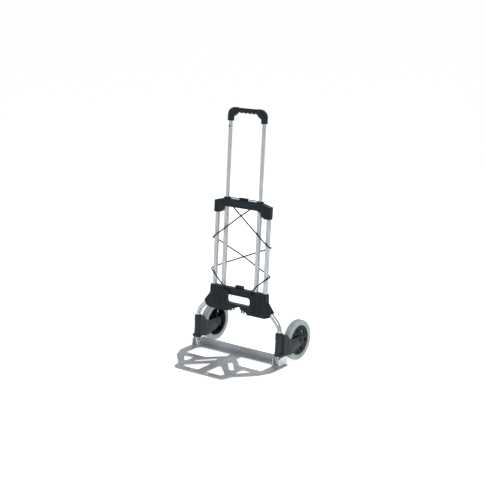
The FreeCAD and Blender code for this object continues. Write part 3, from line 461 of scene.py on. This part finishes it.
def elastic_cord(name, side):
    """One cord; the right one steps clear of the left one where the two cross."""
    route = [[-side * x, o, s] for x, o, s in CORD_ROUTE]
    if side > 0:
        route[FRONT_CROSSING][1] -= CROSSING_STEP
        route[REAR_CROSSING][1] += CROSSING_STEP
    route.append(CORD_ENDS[name])
    points = [leaning(x * MM, o * MM, s * MM) for x, o, s in route]
    curve = bpy.data.curves.new(f"cord_{name}", "CURVE")
    curve.dimensions = "3D"
    spline = curve.splines.new("NURBS")
    spline.points.add(len(points) - 1)
    for point, place in zip(spline.points, points):
        point.co = (*place, 1)
        point.radius = CORD_RADIUS
    spline.order_u = 3
    spline.use_endpoint_u = True
    spline.resolution_u = 12
    curve.bevel_depth = 1.0
    curve.bevel_resolution = 5
    curve.use_fill_caps = True
    item = bpy.data.objects.new(f"cord_{name}", curve)
    bpy.context.scene.collection.objects.link(item)
    dress(item, "cord")
    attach(item, "frame")
    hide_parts(f"elastic_cord_{name}")
    length = spline_length(item)


for side_name, side_sign in SIDES.items():
    elastic_cord(side_name, side_sign)

# ---------------------------------------------------------------------------
# Wheels: tyre, hub and fork, measured from the axle in the leaning axes
# ---------------------------------------------------------------------------
WHEEL_R, TYRE_INNER, TYRE_HALF = 90.0, 66.5, 15.5
WHEEL_X, FOOT_X = 232.0, 226.0
AXLE_BACK, AXLE_RISE = 136.0, WHEEL_R - HINGE_LEVEL / MM
WHEEL_O = AXLE_BACK * math.cos(LEAN) - AXLE_RISE * math.sin(LEAN)
WHEEL_S = AXLE_BACK * math.sin(LEAN) + AXLE_RISE * math.cos(LEAN)
HUB_WINDOWS, WINDOW_TURN = 6, math.radians(53)
WINDOW_OUT, WINDOW_R = 46.0, 9.5


def arc_points(centre, radius, start, finish, steps):
    """Points on an arc in a profile plane, angles in degrees."""
    points = []
    for k in range(steps + 1):
        angle = math.radians(start + (finish - start) * k / steps)
        points.append((centre[0] + radius * math.cos(angle),
                       centre[1] + radius * math.sin(angle)))
    return points


def tyre(name, side):
    """A solid rubber tyre: round shoulders, a fine groove each side and a step round the tread."""
    groove, step, shoulder = 0.5, 0.4, 8.0
    right = [(TYRE_HALF - 2.0, TYRE_INNER + 0.3), (TYRE_HALF - 0.4, TYRE_INNER + 1.2),
             (TYRE_HALF, TYRE_INNER + 3.0), (TYRE_HALF, TYRE_INNER + 4.6),
             (TYRE_HALF - groove, TYRE_INNER + 5.1), (TYRE_HALF - groove, TYRE_INNER + 5.9),
             (TYRE_HALF, TYRE_INNER + 6.4), (TYRE_HALF, WHEEL_R - shoulder)]
    right += arc_points((TYRE_HALF - shoulder, WHEEL_R - shoulder), shoulder, 0, 82, 8)
    right += [(2.2, WHEEL_R), (1.6, WHEEL_R - step), (0.5, WHEEL_R - step)]
    profile = right + [(-x, r) for x, r in reversed(right)]
    bm = bmesh.new()
    turned(bm, profile, (side * WHEEL_X, WHEEL_O, WHEEL_S), 128)
    piece(f"tyre_rubber_{name}", bm, "tyre", f"wheel_{name}", [f"tyre_{name}"])


def hub_web(bm, low, high, inner, outer):
    """The web with round windows: each sixth of the ring is filled round its own window."""
    steps = 16
    square_up = 1.42
    sector = math.tau / HUB_WINDOWS
    window, border = [], []
    for j in range(steps):
        turn = math.tau * j / steps
        cosine, sine = math.cos(turn), math.sin(turn)
        window.append((WINDOW_OUT + WINDOW_R * cosine, WINDOW_R * sine))
        share = max(-1, min(1, cosine * square_up))
        reach = outer - WINDOW_OUT if share > 0 else WINDOW_OUT - inner
        border.append((WINDOW_OUT + share * reach,
                       0.5 * sector * max(-1, min(1, sine * square_up))))
    for k in range(HUB_WINDOWS):
        middle = WINDOW_TURN + k * sector
        for level in (low, high):
            ring = [bm.verts.new(web_point(level, middle, *place)) for place in window]
            rim = [bm.verts.new(polar_point(level, middle + angle, radius))
                   for radius, angle in border]
            join_rings(bm, ring, rim)
        walls = [[bm.verts.new(web_point(level, middle, *place)) for place in window]
                 for level in (low, high)]
        join_rings(bm, *walls)


def web_point(level, middle, radial, across):
    """A point of the web from its window's own radial and crosswise distances."""
    return Vector((level, radial * math.cos(middle) - across * math.sin(middle),
                   radial * math.sin(middle) + across * math.cos(middle)))


def polar_point(level, angle, radius):
    """A point of the web from its angle and radius about the axle."""
    return Vector((level, radius * math.cos(angle), radius * math.sin(angle)))


def rib(bm, angle, low, high, inner, outer, half):
    """A radial rib on the web, tapered towards the rim."""
    loops = []
    stations = ((inner, half * 1.3, high), (0.5 * (inner + outer), half, high - 0.8),
                (outer, half, high - 0.2))
    for radius, wide, top in stations:
        section = [(-wide, low), (-wide * 0.75, top), (wide * 0.75, top), (wide, low)]
        loops.append([web_point(level, angle, radius, across) for across, level in section])
    skin_loops(bm, loops)


def hub(name, side):
    """A moulded hub: rim, boss, web with round windows near its outer face, and radial ribs."""
    web_in, web_out, hub_half, boss_half = 7.5, 11.5, 13.0, 15.2
    rim_in, rim_out, rim_edge = TYRE_INNER - 5.0, TYRE_INNER - 0.05, 1.2
    boss_r, boss_edge, bush_r = 15.0, 2.0, 8.05
    outer_rib, inner_rib, rib_half = 2.2, 17.0, 1.6
    bm = bmesh.new()
    rim = [(-hub_half, rim_out), (-hub_half, rim_in + rim_edge), (-hub_half + rim_edge, rim_in),
           (hub_half - rim_edge, rim_in), (hub_half, rim_in + rim_edge), (hub_half, rim_out)]
    turned(bm, rim, (0, 0, 0), 96)
    boss = [(-boss_half, bush_r), (-boss_half, boss_r - boss_edge),
            (-boss_half + boss_edge, boss_r), (boss_half - boss_edge, boss_r),
            (boss_half, boss_r - boss_edge), (boss_half, bush_r)]
    turned(bm, boss, (0, 0, 0), 64)
    lip = [(web_out - 0.2, 27.5), (web_out + 1.0, 28.0), (web_out + 1.0, 29.6),
           (web_out - 0.2, 30.1)]
    turned(bm, lip, (0, 0, 0), 96)
    hub_web(bm, web_in, web_out, boss_r - 0.3, rim_in + 0.3)
    for k in range(HUB_WINDOWS):
        angle = WINDOW_TURN + (k + 0.5) * math.tau / HUB_WINDOWS
        span = boss_r - 0.5, rim_in + 0.5, rib_half
        rib(bm, angle, web_out - 0.3, web_out + outer_rib, *span)
        rib(bm, angle, web_in + 0.3, web_in - inner_rib, *span)
    bm.transform(Matrix.Diagonal((side, 1, 1, 1)))
    bm.transform(Matrix.Translation((side * WHEEL_X, WHEEL_O, WHEEL_S)))
    piece(f"hub_{name}", bm, "moulding", f"wheel_{name}", [f"wheel_hub_{name}"], HUB_PLASTIC)


BLOCK_R = 16.0
BAND_BORE = BLOCK_R - 1.5
FORK_BANDS = [
    [(119.5, 0.4), (120.5, 2.4), (125.4, 2.4), (126.6, 1.2)],
    [(108.5, 1.2), (109.3, 2.2), (112.2, 2.2), (113.0, 1.2)],
    [(100.2, -0.2), (101.0, 1.6), (103.6, 1.6), (104.4, -0.2)],
    [(27.2, 1.8), (28.2, 2.8), (34.6, 2.8), (37.4, 0.3)],
    [(41.0, -0.2), (41.8, 1.4), (44.2, 1.4), (45.0, -0.2)],
]


def ring_band(bm, centre, outline, steps=48):
    """A closed ring round the fork's block: the outline is (level, how far it stands proud)."""
    profile = [(level, BLOCK_R + proud) for level, proud in outline]
    profile += [(outline[-1][0], BAND_BORE), (outline[0][0], BAND_BORE)]
    loops = []
    for k in range(steps):
        angle = math.tau * k / steps
        loops.append([Vector((centre[0] + r * math.cos(angle), centre[1] + r * math.sin(angle),
                              level)) for level, r in profile])
    skin_loops(bm, loops, closed_run=True)


def fork_trims(name, side):
    """Mouldings on the fork: bands and ribs on its block, a skin, panel and boss on each arm."""
    bm = bmesh.new()
    for outline in FORK_BANDS:
        ring_band(bm, (side * FOOT_X, 0.0), outline)
    for across in (-9.0, 0.0, 9.0):
        x = side * FOOT_X + across
        front = -math.sqrt(BLOCK_R ** 2 - across ** 2)
        upright = rounded_outline([(x - 1.2, 48), (x + 1.2, 48), (x + 1.2, 97), (x - 1.2, 97)],
                                  1.0, 3)
        slab(bm, upright, front + 1.2, front - 0.9, 0.6, on_face)
    arm_face = TYRE_HALF + 1.3 + 5.5
    arm = rounded_outline([(24, 36), (62, 34), (92, 44), (WHEEL_O + 2, WHEEL_S - 16),
                           (WHEEL_O - 4, WHEEL_S + 14), (62, 88), (46, 93), (28, 112)],
                          [6, 8, 14, 12, 12, 10, 8, 6])
    panel = rounded_outline([(30, 42), (60, 40), (88, 49), (WHEEL_O - 10, WHEEL_S - 12),
                             (WHEEL_O - 14, WHEEL_S + 9), (60, 81), (44, 86), (31, 100)],
                            [5, 6, 12, 10, 10, 8, 6, 5])
    cap = [(-0.5, 11.5), (1.4, 11.5), (2.2, 12.3), (2.2, 15.4), (1.4, 16.2), (-0.5, 16.4)]
    for face in (-1, 1):
        base = side * WHEEL_X + face * arm_face
        slab(bm, arm, base - face * 0.8, base + face * 0.7, 0.6, on_side)
        slab(bm, panel, base, base + face * 1.5, 0.7, on_side)
        boss = [(face * (arm_face + proud), radius) for proud, radius in cap]
        turned(bm, boss, (side * WHEEL_X, WHEEL_O, WHEEL_S), 48)
    piece(f"fork_mouldings_{name}", bm, "moulding", f"fork_{name}", look=FORK_PLASTIC)


# ---------------------------------------------------------------------------
# Handle: a finger-shaped grip between two swept corners
# ---------------------------------------------------------------------------
GRIP_HALF, GRIP_LEVEL, GRIP_R = 54.0, 1074.5, 11.0
FINGER_PITCH, FINGER_DEPTH = 22.0, 3.4
HANDLE_X = 90.0


def grip():
    """A rubber grip with rounds for the fingers beneath and fine ribs round it."""
    rounded_end, end_shrink = 2.0, 0.1
    rib_height, rib_pitch, plain_end = 0.18, 3.0, 5.0
    bm = bmesh.new()
    loops = []
    stations, around = 216, 48
    for k in range(stations + 1):
        x = -GRIP_HALF + 2 * GRIP_HALF * k / stations
        end = min(1.0, (GRIP_HALF - abs(x)) / rounded_end)
        trim = GRIP_R * (1 - end_shrink + end_shrink * math.sqrt(max(0.0, end * (2 - end))))
        ribbed = abs(x) < GRIP_HALF - plain_end
        rib_wave = rib_height * math.sin(math.tau * x / rib_pitch) if ribbed else 0.0
        finger = 0.5 + 0.5 * math.cos(math.tau * (x + 0.5 * FINGER_PITCH) / FINGER_PITCH)
        loop = []
        for j in range(around):
            angle = math.tau * j / around
            down = max(0.0, -math.sin(angle))
            radius = trim + rib_wave - FINGER_DEPTH * (1 - finger) * down ** 1.5
            loop.append(Vector((x, radius * math.cos(angle),
                                GRIP_LEVEL + (radius + down) * math.sin(angle))))
        loops.append(loop)
    skin_loops(bm, loops)
    piece("grip_rubber", bm, "grip", "handle", ["handle_grip"])


def handle_corner(name, side):
    """A corner swept along an L: a collared socket, a round elbow, a ring at the grip, a web."""
    half_across, half_deep, power = 13.6, 12.2, 3.4
    bend, bend_steps, bend_scale = 22.0, 12, 0.98
    low, level = 1027.0, GRIP_LEVEL - 0.8
    socket = [(0.0, 0.96), (1.0, 1.0), (5.0, 1.0), (6.0, 0.93), (8.0, 0.93), (9.0, 0.97),
              (20.0, 0.97)]
    ring = [(0.0, 0.98), (7.0, 0.98), (8.0, 0.92), (9.5, 0.92), (10.5, 1.0), (13.0, 1.0),
            (14.0, 0.95)]
    path, sections = [], []

    def station(centre, across, scale):
        path.append((centre, across, (0, 1, 0)))
        sections.append(superellipse(half_across * scale, half_deep * scale, power))

    for rise, scale in socket:
        station((side * HANDLE_X, 0, low + rise), (1, 0, 0), scale)
    centre_x, centre_s = side * (HANDLE_X - bend), level - bend
    for k in range(1, bend_steps):
        angle = math.pi / 2 * k / bend_steps
        cosine, sine = math.cos(angle), math.sin(angle)
        station((centre_x + side * bend * cosine, 0, centre_s + bend * sine),
                (cosine, 0, side * sine), bend_scale)
    for inward, scale in ring:
        station((side * (HANDLE_X - bend - inward), 0, level), (0, 0, side), scale)
    bm = bmesh.new()
    swept(bm, path, sections)
    inner = HANDLE_X - 12.0
    web = [(inner + 4, 1044), (inner - 3, 1046), (inner - 8, 1050), (inner - 15, 1053),
           (inner - 19, 1058), (inner - 20, 1068), (inner + 4, 1068)]
    gusset(bm, rounded_outline([(side * x, s) for x, s in web], 2.5, 3), 9.5, 2.0)
    badge = [(HANDLE_X - 8, 1050), (HANDLE_X + 5, 1050), (HANDLE_X + 5, 1066), (HANDLE_X - 8, 1066)]
    for face in (-1, 1):
        outline = rounded_outline([(side * x, s) for x, s in badge], 4, 4)
        slab(bm, outline, face * 10.0, face * 12.4, 0.8, on_face)
    piece(f"handle_elbow_{name}", bm, "moulding", "handle", [f"handle_corner_{name}"])


# ---------------------------------------------------------------------------
# Raised mouldings on the crosspieces
# ---------------------------------------------------------------------------
FRONT, REAR = -16.0, 13.0
ROOT = 0.6


def face_levels(face, tall):
    """Where a raised moulding starts, inside the face, where it ends, and which way is out."""
    level, out = (FRONT, -1) if face < 0 else (REAR, 1)
    return level - out * ROOT, level + out * tall, out


def ridge(bm, start, end, half, face, tall=1.5):
    """A straight rounded ridge on a crosspiece's face, from one point to another."""
    a, b = Vector(start), Vector(end)
    along = (b - a).normalized()
    square = Vector((-along.y, along.x)) * half
    outline = rounded_outline([a - square, b - square, b + square, a + square], half * 0.9, 3)
    low, high, _ = face_levels(face, tall)
    slab(bm, outline, low, high, min(0.5, tall * 0.5), on_face)


def frame_line(bm, corners, radius, width, face, tall=1.1):
    """A raised line that follows a closed outline, as wide as given."""
    outer = anticlockwise(rounded_outline(corners, radius, 5))
    inner = inset(outer, width)
    low, high, out = face_levels(face, tall)
    bevel = min(0.35 * width, 0.5 * tall)
    shoulder = high - out * bevel
    loops = []
    for outside, inside in zip(outer, inner):
        across = (inside - outside).normalized() * bevel
        profile = [(outside, low), (outside, shoulder), (outside + across, high),
                   (inside - across, high), (inside, shoulder), (inside, low)]
        loops.append([on_face(p.x, p.y, at) for p, at in profile])
    skin_loops(bm, loops, closed_run=True)


def upper_mouldings():
    """The upper crosspiece: an outlined panel at each end, and ridges along and across."""
    panel = [(148, 626), (148, 668), (124, 675), (118, 652), (124, 626)]
    bm = bmesh.new()
    for face in (-1, 1):
        for side in (-1, 1):
            frame_line(bm, [(side * x, s) for x, s in panel], [4, 5, 5, 4, 4], 1.8, face)
            for x in (98, 104):
                ridge(bm, (side * x, 652), (side * x, 677), 0.9, face)
            ridge(bm, (side * 80, 656), (side * 80, 678), 0.9, face)
            for x in (132, 139):
                ridge(bm, (side * x, 633), (side * x, 663), 0.9, face, 0.8)
        for level in (655.5, 678.0):
            ridge(bm, (-72, level), (72, level), 0.8, face)
    piece("upper_crosspiece_mouldings", bm, "moulding", "frame")


def lower_mouldings():
    """The lower crosspiece: a rim round the slot, ridges on both faces, and small feet."""
    bm = bmesh.new()
    slot = [(-74, 214), (74, 214), (74, 263), (-74, 263)]
    for face in (-1, 1):
        frame_line(bm, slot, 16, 3.2, face, 1.3)
        for side in (-1, 1):
            ridge(bm, (side * 147, 284), (side * 148, 253), 1.0, face)
            ridge(bm, (side * 148, 253), (side * 176, 214), 1.0, face)
            ridge(bm, (side * 176, 214), (side * 162, 194), 1.0, face)
            for x, low, high in ((127, 200, 283), (113, 214, 264), (100, 190, 283), (86, 190, 283)):
                ridge(bm, (side * x, low), (side * x, high), 1.4, face, 1.6)
        ridge(bm, (-82, 271), (82, 271), 0.8, face, 0.8)
    piece("lower_crosspiece_mouldings", bm, "moulding", "frame")
    bm = bmesh.new()
    for x in (-46, -34, 26, 38):
        foot = rounded_outline([(x - 2.2, 184), (x + 2.2, 184), (x + 2.2, 206), (x - 2.2, 206)],
                               1.5, 3)
        slab(bm, foot, -9.0, -15.2, 1.0, on_face)
        slab(bm, foot, 7.0, 12.2, 1.0, on_face)
    piece("lower_crosspiece_feet", bm, "moulding", "frame")


def slot_wire():
    """The thin wire that stands behind the slot, near its left end."""
    wire_x, wire_r = -54.0, 1.1
    line = [(11.5, 262.0), (12.0, 256.0), (12.3, 240.0), (12.0, 224.0), (11.5, 216.0)]
    bm = bmesh.new()
    path = [((wire_x, o, level), (1, 0, 0), (0, 1, 0)) for o, level in line]
    swept(bm, path, [superellipse(wire_r, wire_r, 2.0, 12)] * len(path))
    piece("slot_wire", bm, "cord", "frame")


for side_name, side_sign in SIDES.items():
    tyre(side_name, side_sign)
    hub(side_name, side_sign)
    fork_trims(side_name, side_sign)
    handle_corner(side_name, side_sign)
grip()
upper_mouldings()
lower_mouldings()
slot_wire()

# ---------------------------------------------------------------------------
# Floor, light and camera
# ---------------------------------------------------------------------------
AZIMUTH = math.radians(37.0)
ELEVATION = math.radians(13.98)
CAMERA_DISTANCE = 5.234
CAMERA_LENS = 88.84
ASIDE = 0.026
AIM_LEVEL = 0.5248
WORLD_LIGHT, WORLD_DARK = 0.75, 0.12
BANDS, BAND_TURN = 4.0, math.radians(82)
FLOOR_REACH, FLOOR_LEVEL = 40.0, -0.0005


def floor():
    """A plain pale floor with some light of its own, so that it stays near white."""
    mesh = bpy.data.meshes.new("floor")
    reach = FLOOR_REACH
    mesh.from_pydata([(-reach, -reach, 0), (reach, -reach, 0), (reach, reach, 0),
                      (-reach, reach, 0)], [], [(0, 1, 2, 3)])
    item = bpy.data.objects.new("floor", mesh)
    bpy.context.scene.collection.objects.link(item)
    item.location.z = FLOOR_LEVEL
    look = Look("floor", (0.90, 0.90, 0.90), roughness=0.9)
    look.shader.inputs["Emission Color"].default_value = (1, 1, 1, 1)
    look.shader.inputs["Emission Strength"].default_value = 0.50
    mesh.materials.append(look.material)


def soft_light(name, place, size, power):
    """A large square lamp that faces the middle of the truck."""
    data = bpy.data.lights.new(name, "AREA")
    data.size = size
    data.energy = power
    item = bpy.data.objects.new(name, data)
    bpy.context.scene.collection.objects.link(item)
    item.location = place
    aim = Vector((0, 0, 0.5)) - Vector(place)
    item.rotation_mode = "QUATERNION"
    item.rotation_quaternion = aim.to_track_quat("-Z", "Y")


def world_light():
    """White to the eye, softer as a light, with darker bands that edge the bright metal."""
    world = bpy.data.worlds.new("studio")
    world.use_nodes = True
    tree = world.node_tree
    background = tree.nodes["Background"]
    background.inputs["Color"].default_value = (1, 1, 1, 1)
    ray = tree.nodes.new("ShaderNodeLightPath")
    place = tree.nodes.new("ShaderNodeTexCoord")
    parts = tree.nodes.new("ShaderNodeSeparateXYZ")
    tree.links.new(place.outputs["Generated"], parts.inputs["Vector"])
    around = maths(tree, "ARCTAN2", parts.outputs["X"], parts.outputs["Y"])
    turned_round = maths(tree, "ADD", around, BAND_TURN)
    wave = maths(tree, "COSINE", maths(tree, "MULTIPLY", turned_round, BANDS))
    ramp = tree.nodes.new("ShaderNodeMapRange")
    tree.links.new(wave, ramp.inputs["Value"])
    for key, number in (("From Min", 0.1), ("From Max", 0.9), ("To Min", WORLD_LIGHT),
                        ("To Max", WORLD_DARK)):
        ramp.inputs[key].default_value = number
    either = tree.nodes.new("ShaderNodeMix")
    tree.links.new(ray.outputs["Is Camera Ray"], either.inputs["Factor"])
    tree.links.new(ramp.outputs["Result"], either.inputs["A"])
    either.inputs["B"].default_value = 1.0
    tree.links.new(either.outputs["Result"], background.inputs["Strength"])
    bpy.context.scene.world = world


def camera():
    """The camera, aimed at the middle of the truck from its front right."""
    data = bpy.data.cameras.new("camera")
    data.lens = CAMERA_LENS
    data.sensor_width = 36
    item = bpy.data.objects.new("camera", data)
    bpy.context.scene.collection.objects.link(item)
    back = Vector((math.sin(AZIMUTH) * math.cos(ELEVATION),
                   -math.cos(AZIMUTH) * math.cos(ELEVATION), math.sin(ELEVATION)))
    right = Vector((math.cos(AZIMUTH), math.sin(AZIMUTH), 0))
    target = right * ASIDE + Vector((0, HINGE_Y, AIM_LEVEL))
    item.location = target + back * CAMERA_DISTANCE
    item.rotation_mode = "QUATERNION"
    item.rotation_quaternion = (-back).to_track_quat("-Z", "Y")
    bpy.context.scene.camera = item


bpy.context.scene.view_settings.view_transform = "Standard"
floor()
world_light()
soft_light("key", (2.2, -2.6, 3.4), 2.5, 60)
soft_light("fill", (-2.8, -1.6, 2.2), 3.0, 25)
soft_light("rim", (-0.6, 3.0, 2.6), 2.5, 35)
camera()

bpy.context.view_layer.update()
